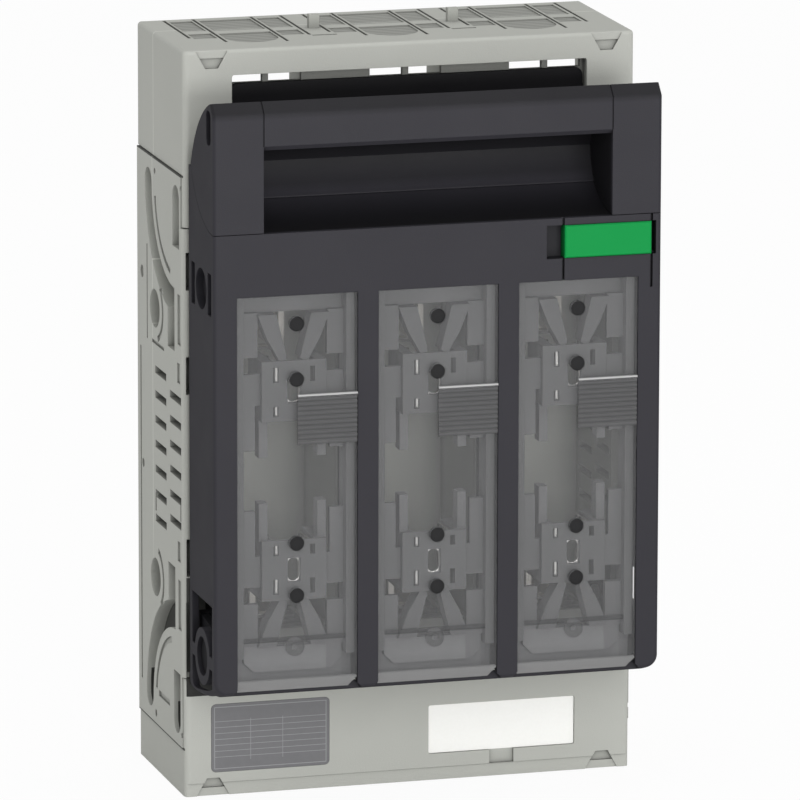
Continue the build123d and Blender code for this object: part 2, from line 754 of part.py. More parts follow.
def hinge_bracket(side):
    """A black bracket bolted inside the base, with the trunnion that carries the lid."""
    body = block((bracket_inner, bracket_inner + bracket_gauge), (-bracket_block_front, -bracket_tail),
                 bracket_z)
    body += block((bracket_inner, bracket_arm[1]), (-bracket_block_front, -base_depth - fit_gap), bracket_z)
    root = Pos(-base_depth - 3, sum(bracket_z) / 2) * Rectangle(4, bracket_z[1] - bracket_z[0])
    eye = Pos(pivot_y, pivot_z) * Circle(bracket_eye / 2)
    body += from_side(make_hull((eye + root).edges()), bracket_arm)
    body += rod_x((bracket_arm[1], trunnion_end), pivot_y, pivot_z, 2 * trunnion_radius)
    for z in bracket_screw_z:
        body -= rod_x((bracket_inner - 1, bracket_arm[0]), bracket_screw_y, z, screw_shank + screw_clearance)
    return body if side > 0 else mirror(body, about=Plane.YZ)


def bracket_screws():
    """Four screws that hold the hinge brackets to the side walls of the base."""
    screws = []
    for z in bracket_screw_z:
        head = rod_x((bracket_inner - screw_head_height, bracket_inner), bracket_screw_y, z, screw_head)
        shank = rod_x((bracket_inner, bracket_screw_tip), bracket_screw_y, z, screw_shank)
        screws += [head + shank, mirror(head + shank, about=Plane.YZ)]
    return Compound(children=screws)


def scoop_start(radius, front):
    """The point of the finger scoop's arc below a given depth, or where it meets the front."""
    return (front, scoop_centre_z - (radius ** 2 - (front - scoop_centre_y) ** 2) ** 0.5)


def scoop_end(radius, z):
    """The upper end of the finger scoop at a given height."""
    return (scoop_centre_y + (radius ** 2 - (scoop_centre_z - z) ** 2) ** 0.5, z)


def lid_outline(skin, foot):
    """The side outline of the lid, or of its hollow when the two walls are given."""
    front = -lid_front + skin
    radius = scoop_radius + skin
    back = -lid_back + (1 if skin else 0)
    start = scoop_start(radius, front)
    end = scoop_end(radius, lid_shoulder - skin)
    middle = (scoop_centre_y + radius * 0.6, scoop_centre_z - radius * 0.8)
    heel = (back, lid_bottom + foot)
    sole = ((back + front) / 2, lid_bottom + lid_foot_sag + foot)
    toe = (front, lid_toe + foot)
    edges = ThreePointArc(heel, sole, toe) + Line(toe, start) + ThreePointArc(start, middle, end)
    edges += Line(end, (back, end[1])) + Line((back, end[1]), heel)
    return make_face(edges)


def lid_block():
    """The outside of the lid with its rounded foot corners and front edges."""
    body = from_side(lid_outline(0, 0), (-lid_half, lid_half))
    foot = body.edges().filter_by(
        lambda e: abs(e.center().X) > lid_half - 0.01 and e.center().Z < lid_toe and e.length > 20)
    body = fillet(foot, lid_foot_radius)
    start = scoop_start(scoop_radius, -lid_front)
    rim = body.faces().sort_by(Axis.Y)[0].edges().filter_by(lambda e: e.center().Z < start[1] - 0.5)
    return fillet(rim, lid_edge_radius)


def window_opening(x):
    """The front outline of one window, a little wider where it opens at the lid's foot."""
    wide = window_half + bar_foot_bevel
    low = lid_toe + bar_foot_bevel
    return Polygon((x - window_half, window_top), (x + window_half, window_top), (x + window_half, low),
                   (x + wide, lid_toe), (x + wide, lid_bottom - 1), (x - wide, lid_bottom - 1),
                   (x - wide, lid_toe), (x - window_half, low), align=None)


def lid_frame():
    """The charcoal lid moulding: hollow shell, window bars, finger scoop and hinge eyes."""
    inner = lid_half - lid_side_wall
    body = lid_block() - from_side(lid_outline(lid_skin, lid_foot_wall), (-inner, inner))
    body -= block((-inner, inner), (-lid_foot_back, -lid_back + 1),
                  (lid_bottom - 1, lid_bottom + foot_opening_rise))
    for x in pole_x:
        body -= from_front(window_opening(x), (-lid_front - 1, -pane_back + 0.3))
        for side in (-1, 1):
            edge = x + side * rib_offset
            if abs(edge) < lid_half - rib_offset / 2:
                rib = sorted((edge, edge + side * rib_thickness))
                body += block(rib, (-lid_inner, -rib_back), (rib_foot, top_skirt_z))
            height = sum(carrier_head) / 2
            boss_x = x + side * carrier_screw_x
            body += rod_y(boss_x, (-lid_inner, -carrier_head_front), height, carrier_boss)
    body += block((-latch_wall_half, latch_wall_half), (-lid_back - 2, latch_wall_y[1]), latch_floor)
    catch = rounded_rectangle((-latch_wall_half, latch_wall_half),
                              (latch_floor[0], latch_wall_top), latch_radius)
    body += from_front(catch, latch_wall_y)
    body -= both_sides(eye_openings())
    body += both_sides(eye_rings())
    bracket_gap = block((bracket_inner - foot_gap_side, inner), (foot_gap_front, -lid_back + 1),
                        (lid_bottom - 1, lid_bottom + foot_gap_rise))
    body -= both_sides(bracket_gap)
    wall_back = -lid_front + lock_pocket_depth + lock_floor
    body += block((lock_pocket_x[0] - lock_wall, inner), (-lid_front + 0.01, wall_back),
                  (lock_pocket_z[0] - lock_wall, lock_pocket_z[1] + lock_wall))
    body -= block(lock_pocket_x, (-lid_front - 1, -lid_front + lock_pocket_depth), lock_pocket_z)
    middle = sum(lock_pocket_z) / 2
    slot = (lock_stem_x[0] - lock_travel - lock_play, lock_stem_x[1] + lock_play)
    slot_z = (middle - lock_stem_half - lock_play, middle + lock_stem_half + lock_play)
    body -= block(slot, (-lid_front, wall_back + 1), slot_z)
    for x in pole_x:
        for screw_x in (x - carrier_screw_x, x + carrier_screw_x):
            hole = (-carrier_screw_front - screw_tip_play, -carrier_head_front + 1)
            body -= rod_y(screw_x, hole, sum(carrier_head) / 2, screw_shank + 2 * screw_play)
    for x in lock_outline_x:
        line = (x - lock_outline_width / 2, x + lock_outline_width / 2)
        body -= block(line, (-lid_front - 1, -lid_front + lock_outline_depth), lock_outline_z)
    return body


def eye_openings():
    """The openings in a side wall of the lid: one round the hinge eye and two slots above."""
    through = (lid_half - lid_side_wall - 1, lid_half + 1)
    window = Pos(sum(eye_window_y) / 2, sum(eye_window_z) / 2) * Rectangle(
        eye_window_y[1] - eye_window_y[0], eye_window_z[1] - eye_window_z[0])
    window &= Pos(0, eye_window_rim) * lid_outline(0, 0)
    window = fillet(window.vertices().sort_by(Axis.Y)[:2], eye_window_rim)
    cut = from_side(window, through)
    front_slot = (eye_window_y[0], eye_window_y[0] + upper_slot_width)
    back_slot = (eye_window_y[1] - upper_slot_width, eye_window_y[1])
    return cut + block(through, front_slot, upper_slot_z) + block(through, back_slot, upper_slot_z)


def eye_rings():
    """The hinge eye with its two ribs and the round cup above it, without their bores."""
    wall = (lid_half - lid_side_wall, lid_half)
    deep = (lid_half - eye_length, lid_half)
    rib = (pivot_z - eye_rib / 2, pivot_z + eye_rib / 2)
    rings = block(wall, (eye_window_y[0] - 0.5, eye_window_y[1] + 0.5), rib)
    rings += rod_x(deep, pivot_y, pivot_z, eye_ring)
    blind = (lid_half - upper_eye_depth - upper_eye_floor, lid_half)
    return rings + rod_x(blind, pivot_y, upper_eye_z, upper_eye_ring)


def eye_bores():
    """The bore of the hinge eye and the hollow of the cup above it."""
    through = (lid_half - eye_length - 1, lid_half + 1)
    bores = rod_x(through, pivot_y, pivot_z, eye_bore)
    return bores + rod_x((lid_half - upper_eye_depth, lid_half + 1), pivot_y, upper_eye_z, upper_eye_bore)


def handle_outline():
    """The side outline of the handle: flat front, bevelled brow and domed back."""
    front = -lid_front
    radius = scoop_radius - handle_seam
    start = scoop_start(radius, front)
    toe = scoop_end(radius, handle_toe_z)
    middle = (scoop_centre_y + radius * 0.6, scoop_centre_z - radius * 0.8)
    brow = (front, handle_top - handle_brow)
    peak = (front + handle_brow, handle_top)
    dome = ((peak[0] + toe[0]) / 2 + handle_bulge, (peak[1] + toe[1]) / 2 + handle_bulge)
    edges = Line(start, brow) + Line(brow, peak) + ThreePointArc(peak, dome, toe)
    return make_face(edges + ThreePointArc(toe, middle, start))


def grip_hollow():
    """What is left open behind and under the grip bar, in y and z."""
    front = -lid_front
    brow = (front + grip_wall, handle_top - handle_brow - 1.4)
    peak = (front + handle_brow - 0.4, handle_top - grip_wall * 1.5)
    toe = scoop_end(scoop_radius, handle_toe_z)
    toe = (toe[0] - grip_wall * 1.4, toe[1])
    sag = handle_bulge - 0.5
    dome = ((peak[0] + toe[0]) / 2 + sag, (peak[1] + toe[1]) / 2 + sag)
    foot = scoop_start(scoop_radius, front + recess_foot)
    bend = ((toe[0] + foot[0]) / 2 + recess_bend[0], (toe[1] + foot[1]) / 2 + recess_bend[1])
    floor = scoop_centre_z - scoop_radius - 1
    edges = Line((front - 1, grip_low + grip_low_bevel), (front, grip_low + grip_low_bevel))
    edges += Line((front, grip_low + grip_low_bevel), (front + grip_low_bevel, grip_low))
    edges += Line((front + grip_low_bevel, grip_low), (brow[0], grip_low)) + Line((brow[0], grip_low), brow)
    edges += Line(brow, peak) + ThreePointArc(peak, dome, toe) + ThreePointArc(toe, bend, foot)
    edges += Line(foot, (foot[0], floor)) + Line((foot[0], floor), (front - 1, floor))
    edges += Line((front - 1, floor), (front - 1, grip_low + grip_low_bevel))
    return make_face(edges)


def handle():
    """The pull handle: two cheeks, a grip bar and the domed wall behind the fingers."""
    outline = handle_outline()
    cheek = from_side(outline, (cheek_inner, lid_half))
    start = scoop_start(scoop_radius, -lid_front)
    rim = cheek.faces().sort_by(Axis.X)[-1].edges().filter_by(
        lambda e: e.center().Z > start[1] + 15 and e.center().Y < scoop_centre_y + scoop_radius * 0.55)
    cheek = fillet(rim, handle_edge_radius)
    slot = rounded_rectangle(cheek_slot_y, cheek_slot_z, cheek_slot_radius)
    cheek -= from_side(slot, (lid_half - cheek_slot_depth, lid_half + 1))
    body = both_sides(cheek) + from_side(outline - grip_hollow(), (-cheek_inner - 1, cheek_inner + 1))
    seam = outline - offset(outline, -handle_groove)
    seam = from_side(seam, (cheek_inner - handle_groove / 2, cheek_inner + handle_groove / 2))
    seam &= block((0, lid_half), (-lid_front - 1, 0), (grip_low + grip_low_bevel, handle_top + 1))
    return body - both_sides(seam)


def thumb_pad(x):
    """The ribbed pad on a pane, with a proud ledge above its ribs."""
    span = (x + thumb_pad_x[0], x + thumb_pad_x[1])
    seat = -pane_front - thumb_pad_proud
    pad = block(span, (seat, -pane_front + 0.2), thumb_pad_z)
    pitch = (thumb_pad_z[1] - thumb_pad_z[0]) / thumb_rib_count
    for i in range(thumb_rib_count):
        low = thumb_pad_z[0] + i * pitch
        rib = Polygon((seat + 0.1, low), (seat, low), (seat - thumb_rib_height, low + pitch * 0.8),
                      (seat + 0.1, low + pitch * 0.8), align=None)
        pad += from_side(rib, span)
    ledge = (thumb_pad_z[1], thumb_pad_z[1] + thumb_ledge[0])
    return pad + block(span, (-pane_front - thumb_ledge[1], -pane_front + 0.2), ledge)


def test_window(x):
    """A clear pane that slides down in the lid, with test holes and a ribbed thumb pad."""
    half = window_half - window_play
    body = block((x - half, x + half), (-pane_front, -pane_back), (pane_bottom, window_top - window_play))
    for i, height in enumerate(pane_steps, 1):
        front = (-pane_front - 1, -pane_front + i * pane_step_depth)
        body -= block((x - half - 1, x + half + 1), front, (pane_bottom - 1, pane_bottom + height))
    corner = body.edges().filter_by(Axis.Y).group_by(Axis.Z)[0].sort_by(Axis.X)[-1]
    body = chamfer(corner, pane_corner)
    half = window_half + pane_flange
    body += block((x - half, x + half), (-pane_back, -flange_back), pane_flange_ends)
    body += thumb_pad(x)
    rib = (-flange_back, -flange_back + pane_rib_gauge)
    body += block((x - pane_rib_half, x + pane_rib_half), rib, pane_rib_z)
    boss = (-flange_back, -flange_back + detent_boss_height)
    body += rod_y(x, boss, detent_boss_z, detent_boss)
    body -= rod_y(x, (-flange_back, boss[1] + 1), detent_boss_z, detent_bore)
    for z in test_hole_places:
        body -= rod_y(x, (-pane_front - 1, -flange_back + 1), z, test_hole)
    return body


def test_plugs(x):
    """Four dark plugs that close the test holes of a pane."""
    front = -pane_front + plug_recess
    plugs = [rod_y(x, (front, front + plug_thickness), z, test_hole - 2 * plug_play)
             for z in test_hole_places]
    return Compound(children=plugs)


def carrier_end():
    """The parts of a carrier round its upper grip: plates, funnel, posts and slotted grip housing."""
    web = (-web_front, -web_front + web_thickness)
    edge = rail_inner + 0.5
    side = block((plate_inner, edge), web, shoulder_plate_z)
    side += block((guide_strip_x, edge), web, guide_strip_z)
    side += block((grip_half_width - 0.5, guide_strip_x + 0.5), web, (guide_link_z, guide_strip_z[1]))
    funnel = [(across, grip_place + rise) for across, rise in funnel_rise]
    side += from_front(Polygon(*funnel, align=None), (-funnel_front, -funnel_back))
    span = (grip_place - grip_half_length, grip_place + grip_half_length)
    hollow = grip_gap_half + grip_gauge + fit_gap
    side += block((hollow, grip_half_width), (-grip_front, -grip_back), span)
    side += block(guide_post_x, (-web_front, -funnel_back), (guide_post_end, span[0] + 0.5))
    face = (-grip_front - grip_face_gauge, -grip_front - fit_gap)
    side += block((0, hollow), face, span)
    side += block((hollow - fit_gap, grip_half_width), (face[0], -grip_front + fit_gap), span)
    through = (face[0] - 1, face[1] + fit_gap)
    for low, high in clip_slot_z:
        side -= block(clip_slot_x, through, (grip_place + low, grip_place + high))
    width, height = (length / 2 + probe_play / 2 for length in probe_slot)
    side -= block((-1, width), through, (grip_place - height, grip_place + height))
    return both_sides(side)


def fuse_carrier(x):
    """The moulded frame behind a pane that holds a fuse link by its two lugs."""
    web = (-web_front, -web_front + web_thickness)
    rail = block((rail_inner, rail_outer), (-rail_front, -rail_back), rail_ends)
    body = both_sides(rail)
    head_y = (-carrier_head_front, -carrier_head_back)
    body += block((-rail_outer, rail_outer), head_y, (rail_ends[1] - carrier_rim, carrier_head[1]))
    end = carrier_end()
    body += end + mirror(end, about=Plane.XY)
    head_plate = (-web_front + head_plate_set_back, -web_front + head_plate_set_back + head_plate_gauge)
    body += block((-rail_inner - 0.5, rail_inner + 0.5), head_plate, (shoulder_plate_z[1] - 0.5, carrier_head[0]))
    foot = (rail_ends[0], rail_ends[0] + carrier_rim)
    body += block((-rail_outer, rail_outer), carrier_foot_y, foot)
    body += block((-carrier_foot_half, carrier_foot_half), carrier_foot_y, (carrier_foot_low, foot[1]))
    foot_wall = (carrier_foot_y[0], carrier_foot_y[0] + carrier_foot_wall)
    body += block((-rail_outer, rail_outer), foot_wall, (lid_toe, foot[1]))
    toe_plate = block((-foot_plate_half, foot_plate_half), web, foot_plate_z)
    corners = toe_plate.edges().filter_by(Axis.Y).group_by(Axis.Z)[0]
    body += chamfer(corners, foot_plate_corner)
    for screw_x in (-carrier_screw_x, carrier_screw_x):
        body -= rod_y(screw_x, (-carrier_head_front - 1, -carrier_head_back + 1), sum(carrier_head) / 2,
                      screw_shank + screw_clearance)
    return Pos(x, 0, 0) * body


def grip_springs(x):
    """Two steel clips in a carrier, each closing on one lug of a fuse link."""
    clips = []
    outer = grip_gap_half + grip_gauge
    depth = grip_front - grip_back
    centre = Pos(0, -(grip_front + grip_back) / 2)
    clip = centre * Rectangle(2 * outer, depth)
    clip = fillet(clip.vertices().group_by(Axis.Y)[0], grip_bend)
    cavity = centre * Pos(0, grip_gauge) * Rectangle(2 * grip_gap_half, depth)
    cavity = fillet(cavity.vertices().group_by(Axis.Y)[0], grip_bend - grip_gauge)
    for end in (-1, 1):
        middle = end * grip_place
        half = grip_half_length - 1
        body = from_above(clip - cavity, (middle - half, middle + half))
        for side in (-1, 1):
            lip = Pos(side * grip_gap_half, -grip_back - grip_lip_place, middle)
            body += lip * Cylinder(grip_lip, 2 * half)
        slot = rounded_rectangle(*centred((0, middle), probe_slot), probe_slot[0] / 2 - 0.1)
        clips.append(Pos(x, 0, 0) * (body - from_front(slot, (-grip_front - 1, -grip_front + 2))))
    return Compound(children=clips)


def carrier_screws():
    """Six screws that hold the carriers to the bosses of the lid."""
    screws = []
    for x in pole_x:
        for offset_x in (-carrier_screw_x, carrier_screw_x):
            z = sum(carrier_head) / 2
            seat = -carrier_head_back
            head = rod_y(x + offset_x, (seat, seat + screw_head_height), z, screw_head)
            shank = rod_y(x + offset_x, (-carrier_screw_front, seat), z, screw_shank)
            screws.append(head + shank)
    return Compound(children=screws)


def lock_slide():
    """The green slide in its pocket, with the stem and head that keep it in."""
    z = (lock_pocket_z[0] + lock_play, lock_pocket_z[1] - lock_play)
    floor = -lid_front + lock_pocket_depth
    body = block(lock_slide_x, (-lid_front - lock_proud, floor - lock_play), z)
    body = chamfer(body.edges().group_by(Axis.Y)[0], lock_rim)
    middle = sum(lock_pocket_z) / 2
    back = floor + lock_floor + lock_play
    body += block(lock_stem_x, (floor - 1, back), (middle - lock_stem_half, middle + lock_stem_half))
    head = (middle - lock_head_half, middle + lock_head_half)
    return body + block(lock_stem_x, (back, back + lock_head_gauge), head)


def all_pieces():
    """Every piece of the device by name."""
    pieces = {
        "base_housing": base_housing(),
        "top_terminal_cover": top_terminal_cover(),
        "bottom_terminal_cover": bottom_terminal_cover(),
        "rating_plate": rating_plate(),
        "marking_label": marking_label(),
        "terminal_bolts": terminal_bolts(),
        "terminal_washers": terminal_washers(),
        "terminal_nuts": terminal_nuts(),
        "hinge_bracket_left": hinge_bracket(-1),
        "hinge_bracket_right": hinge_bracket(1),
        "bracket_screws": bracket_screws(),
        "lid_frame": lid_frame() - both_sides(eye_bores()),
        "handle": handle(),
        "lock_slide": lock_slide(),
        "carrier_screws": carrier_screws(),
    }
    for number, x in enumerate(pole_x, 1):
        for name, side in (("upper", 1), ("lower", -1)):
            pieces[f"contact_{name}_{number}"] = contact(x, side)
            pieces[f"jaw_spring_{name}_{number}"] = jaw_spring(x, side)
            pieces[f"arc_chute_{name}_{number}"] = arc_chute(x, side)
            pieces[f"deion_plates_{name}_{number}"] = deion_plates(x, side)
        pieces[f"test_window_{number}"] = test_window(x)
        pieces[f"test_plugs_{number}"] = test_plugs(x)
        pieces[f"fuse_carrier_{number}"] = fuse_carrier(x)
        pieces[f"grip_springs_{number}"] = grip_springs(x)
    return pieces


os.makedirs("parts", exist_ok=True)
for piece_name, piece in all_pieces().items():
    export_step(piece, f"parts/{piece_name}.step")
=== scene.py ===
import json
import math
from collections import namedtuple
import bpy
from mathutils import Euler, Matrix, Vector


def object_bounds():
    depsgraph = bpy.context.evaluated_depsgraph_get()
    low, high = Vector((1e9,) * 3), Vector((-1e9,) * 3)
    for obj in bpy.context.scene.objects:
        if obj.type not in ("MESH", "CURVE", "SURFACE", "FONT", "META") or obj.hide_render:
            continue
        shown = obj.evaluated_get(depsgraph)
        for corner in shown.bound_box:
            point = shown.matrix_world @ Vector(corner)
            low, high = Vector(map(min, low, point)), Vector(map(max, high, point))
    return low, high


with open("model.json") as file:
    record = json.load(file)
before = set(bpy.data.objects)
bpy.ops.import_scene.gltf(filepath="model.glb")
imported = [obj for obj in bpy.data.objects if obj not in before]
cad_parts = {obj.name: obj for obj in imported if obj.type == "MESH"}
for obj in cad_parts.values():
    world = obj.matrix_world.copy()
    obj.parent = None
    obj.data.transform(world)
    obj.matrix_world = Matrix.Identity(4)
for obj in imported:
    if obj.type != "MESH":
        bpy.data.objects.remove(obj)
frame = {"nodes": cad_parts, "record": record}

MM = 0.001
cad_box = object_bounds()

# The camera of the photograph, in the frame of the device: millimetres and degrees
CAMERA_PLACE = (-917.7, -3260.7, 748.3)
CAMERA_LENS = 389.3
CAMERA_TURN = 15.986
CAMERA_DOWN = 12.357
CAMERA_ROLL = 0.125

# Light: name, place, aim, size and power of each lamp, in metres and watts
WORLD_LIGHT = 0.60
LAMPS = (
    ("key", (-0.4, -2.8, 1.3), (0, 0, 0), (1.4, 1.4), 19.5),
    ("low", (0.3, -2.8, 0.17), (0, 0, -0.08), (1.4, 0.6), 21.0),
    ("fill", (-2.2, -1.2, 0.7), (0, 0, 0), (1.6, 1.6), 2.5),
    ("top", (0.1, -0.3, 2.2), (0, 0, 0), (1.4, 1.4), 8.0),
)
FLOOR_SIZE = 30.0
FLOOR_GAP = 0.0004
FLOOR_WHITE = 0.94

# Painted shade in the hollows of the plastic; below NEAR_FLOOR the floor itself casts none
HOLLOW_REACH = 0.009
HOLLOW_SHADE = -0.72
NEAR_FLOOR = -118.0
EDGE_ROUNDING = 0.00035

# Places on the device, in millimetres. A box gives the range of each axis, a fade
# its start and length, and a set of stripes their pitch and the share that is marked.
PITCH = 56.7
FAR = 1000.0
ALL = (-FAR, FAR)

# Grey housing: boxes in |x|, y and z, where shade and light are painted
KNOCKOUTS_TOP = ((-FAR, 86.0), (-68.0, -1.0), (163.5, 163.9))
KNOCKOUTS_BOTTOM = ((-FAR, 86.0), (-68.0, -1.0), (-133.5, -133.1))
KNOCKOUT_RIDGES = (3.4, 0.45)
# Where the bay floors are painted lighter, fading in upwards: painted light
BAY_FLOOR = (ALL, (-24.2, -23.8), ALL)
BAY_FADE = (-55.0, 25.0)
HOUSING_SHADES = (
    (((91.2, FAR), ALL, (114.2, 115.2)), -0.85),                   # painted shade in the seam of the top cover
    (((91.2, FAR), ALL, (-115.2, -114.2)), -0.85),                 # painted shade in the seam of the bottom cover
    (((79.3, 90.7), (-72.2, -58.0), (-93.0, -45.0)), -0.97),       # housing painted near-black behind a hinge eye
    (((86.2, 86.8), (-54.0, -20.0), (-85.0, -55.0)), -0.95),       # painted shade in the opening of the side channel
    (((83.5, 90.3), (-27.0, -6.0), (-109.0, -95.0)), -0.95),       # painted shade in the foot of the side channel
    (((83.5, 90.3), (-66.5, -55.0), (-111.0, -98.5)), -0.95),      # painted shade in the foot of the side slot
)

# Charcoal lid: boxes in |x|, y and z, fades along z, where shade is painted
CATCH_WALL = (ALL, (-74.0, FAR), (100.0, FAR))
FLANKS = ((90.2, FAR), ALL, ALL)
BROW = (ALL, (-FAR, -104.0), ALL)
BROW_FADE = (143.5, 3.0)
HOLLOW = ((-FAR, 70.5), (-109.5, -74.0), (97.0, 134.0))
HOLLOW_END = 69.8
HOLLOW_UPPER = (110.0, 3.0)
HOLLOW_FOOT = (110.0, -11.0)
HOLLOW_TOP = (117.0, 13.0)

# Fuse carrier: boxes in x from the middle of its pole, y and z
CARRIER_HEAD = (ALL, ALL, (48.0, FAR))
CARRIER_PLATE = ((-20.5, 13.5), (-104.3, -103.7), (-77.0, -66.0))
CARRIER_RAIL = 20.4

# Clear pane and its thick places: box as for a carrier, tint and added density
PANE_CLEAR = (0.30, 0.302, 0.308)
PANE_DENSITY = 0.155
Thick = namedtuple("Thick", "box tint density")
THUMB_PAD = Thick(((-0.1, FAR), (-FAR, -111.35), (15.1, 34.0)), (0.112, 0.112, 0.115), 0.68)
# The ledge's pale tint is a painted highlight along the top edge of the thumb pad
PAD_LEDGE = Thick(((-0.1, FAR), (-FAR, -111.35), (34.5, 35.3)), (0.50, 0.50, 0.50), 0.70)
PANE_FOOT = Thick((ALL, (-FAR, -108.9), (-FAR, -78.1)), (0.28, 0.28, 0.28), 0.45)
PANE_RIB = Thick((ALL, (-107.88, FAR), (-63.75, -61.85)), (0.05, 0.05, 0.052), 0.6)
PANE_BOSS = Thick((ALL, (-107.88, FAR), (-FAR, -60.0)), (0.09, 0.09, 0.092), 0.45)
PANE_THICK = (THUMB_PAD, PANE_RIB, PANE_BOSS, PANE_FOOT, PAD_LEDGE)
BOSS_HEIGHT = -66.1
BOSS_RADIUS_SQUARED = 14.3
# Painted shade of the thumb pad's ribs as darker stripes: start, pitch and share
PAD_RIB_START = 15.2
PAD_RIBS = (1.88, 0.34)

# Print on the rating plate: middle, half sizes, line and table
PLATE_MIDDLE = (-56.75, -110.55)
PLATE_BORDER = (22.9, 12.6)
PLATE_LINE = 0.3
PLATE_TABLE = (-9.4, 7.4)
PLATE_COLUMNS = ((-8.15, -7.95), (4.95, 5.15))
PLATE_RULE_START = -0.65
PLATE_RULES = (2.4, 0.09)


class Value:
    """A shader socket that can be used in plain arithmetic."""

    def __init__(self, nodes, socket):
        self.nodes = nodes
        self.socket = socket

    def maths(self, operation, *others):
        return self.nodes.node("ShaderNodeMath", {"operation": operation}, (self, *others))

    def __add__(self, other):
        return self.maths("ADD", other)

    def __sub__(self, other):
        return self.maths("SUBTRACT", other)

    def __mul__(self, other):
        return self.maths("MULTIPLY", other)

    def __truediv__(self, other):
        return self.maths("DIVIDE", other)

    def __rsub__(self, other):
        return (self * -1.0) + other

    __radd__ = __add__
    __rmul__ = __mul__

    def beside(self, name):
        """Another output of the same node."""
        return Value(self.nodes, self.socket.node.outputs[name])

    def above(self, edge):
        return self.maths("GREATER_THAN", edge)

    def below(self, edge):
        return self.maths("LESS_THAN", edge)

    def between(self, low, high):
        return self.above(low) * self.below(high)

    def size(self):
        return self.maths("ABSOLUTE")

    def clamp(self):
        return self.nodes.node("ShaderNodeClamp", {}, (self,))

    def fade(self, start, length):
        """0 up to the start, rising to 1 over the length; a negative length runs back."""
        return ((self - start) / length).clamp()

    def stripes(self, pitch, share):
        """1 on the given share of every pitch, and 0 elsewhere."""
        return self.maths("WRAP", pitch, 0.0).below(pitch * share)


class Nodes:
    """A node tree, with one method that adds any node to it."""

    def __init__(self, tree):
        self.tree = tree

    def node(self, kind, settings=None, values=(), out=0):
        node = self.tree.nodes.new(kind)
        for key, value in (settings or {}).items():
            setattr(node, key, value)
        pairs = values.items() if isinstance(values, dict) else enumerate(values)
        for key, value in pairs:
            self.feed(node.inputs[key], value)
        return Value(self, node.outputs[out]) if node.outputs else None

    def feed(self, socket, value):
        if isinstance(value, Value):
            self.tree.links.new(value.socket, socket)
        else:
            socket.default_value = value


class Paint(Nodes):
    """One material, with short words for the nodes that it needs."""

    def __init__(self, name, colour, roughness, metallic=0.0):
        self.material = bpy.data.materials.new(name)
        self.material.use_nodes = True
        super().__init__(self.material.node_tree)
        self.shader = self.tree.nodes["Principled BSDF"]
        self.place = self.node("ShaderNodeTexCoord", out="Object")
        self.set("Base Color", (*colour, 1.0))
        self.set("Roughness", roughness)
        self.set("Metallic", metallic)

    def set(self, name, value):
        self.feed(self.shader.inputs[name], value)
        return self

    def stretched(self, scale):
        """The object's own place, stretched along each axis."""
        return self.node("ShaderNodeMapping", {}, {"Vector": self.place, "Scale": scale})

    def noise(self, scale, detail=3.0, place=None):
        values = {"Vector": place or self.place, "Scale": scale, "Detail": detail}
        return self.node("ShaderNodeTexNoise", {}, values, "Fac")

    def axes(self):
        """The three axes of the object's own place, in millimetres."""
        first = self.node("ShaderNodeSeparateXYZ", {}, (self.place,))
        return [first.beside(axis) / MM for axis in ("X", "Y", "Z")]

    def sides(self):
        """As axes, with x the distance to either side of the device."""
        x, y, z = self.axes()
        return x.size(), y, z

    def pole(self):
        """As axes, with x from the middle of the nearest pole."""
        x, y, z = self.axes()
        return x.maths("WRAP", PITCH / 2, -PITCH / 2), y, z

    def within(self, places, box):
        """1 inside a box, which gives the range of each place, and 0 outside."""
        mask = 1.0
        for place, span in zip(places, box):
            if span is not ALL:
                mask = place.between(*span) * mask
        return mask

    def blend(self, share, first, second):
        colours = [(*c, 1.0) if isinstance(c, tuple) else c for c in (first, second)]
        values = {0: share, 6: colours[0], 7: colours[1]}
        return self.node("ShaderNodeMix", {"data_type": "RGBA"}, values, 2)

    def openness(self, own=False):
        """Ambient occlusion: 1 on open faces, towards 0 in grooves, pockets and seams, where shade
        is painted.
        """
        settings = {"samples": 6, "only_local": own}
        return self.node("ShaderNodeAmbientOcclusion", settings, {"Distance": HOLLOW_REACH}, "AO")

    def grazing(self):
        """0 where the surface faces the eye, towards 1 where it turns away."""
        return self.node("ShaderNodeLayerWeight", {}, {"Blend": 0.5}, "Facing")

    def bump(self, height, distance):
        """Fine relief on the surface, with its sharp edges shaded as slightly rounded."""
        rounded = self.node("ShaderNodeBevel", {"samples": 6}, {"Radius": EDGE_ROUNDING})
        values = {"Strength": 1.0, "Distance": distance, "Height": height, "Normal": rounded}
        return self.set("Normal", self.node("ShaderNodeBump", {}, values))


def shaded(colour, share):
    """A colour made lighter or darker by a share."""
    return tuple(c * (1.0 + share) for c in colour)


def moulded(name, colour, roughness, grain, grain_depth, mottle=0.05, gloss=0.22, marks=None):
    """Moulded plastic: a fine spark-eroded grain, a slow drift of tone, and painted shade in its
    hollows.

    marks gives pairs of a mask and the share by which the colour is painted lighter or darker
    there.
    """
    paint = Paint(name, colour, roughness)
    drift = paint.noise(22.0, 4.0)
    tint = paint.blend(drift, shaded(colour, -mottle), shaded(colour, mottle))
    for mask, shade in (marks(paint) if marks else ()):
        tint = paint.blend(mask, tint, shaded(colour, shade))
    # Painted shade from ambient occlusion; near the floor only the object's own hollows are shaded
    low = paint.axes()[2].below(NEAR_FLOOR)
    clear = paint.openness().maths("MAXIMUM", paint.openness(own=True) * low)
    paint.set("Base Color", paint.blend(clear, shaded(colour, HOLLOW_SHADE), tint))
    fine = paint.noise(grain, 2.0)
    dull = paint.grazing() * paint.grazing() * 0.5
    spread = (paint.noise(60.0, 3.0) - 0.5) * 0.14 + (fine - 0.5) * 0.06
    paint.set("Roughness", (dull + spread + roughness).clamp())
    paint.set("Specular IOR Level", gloss)
    return paint.bump(fine, grain_depth)


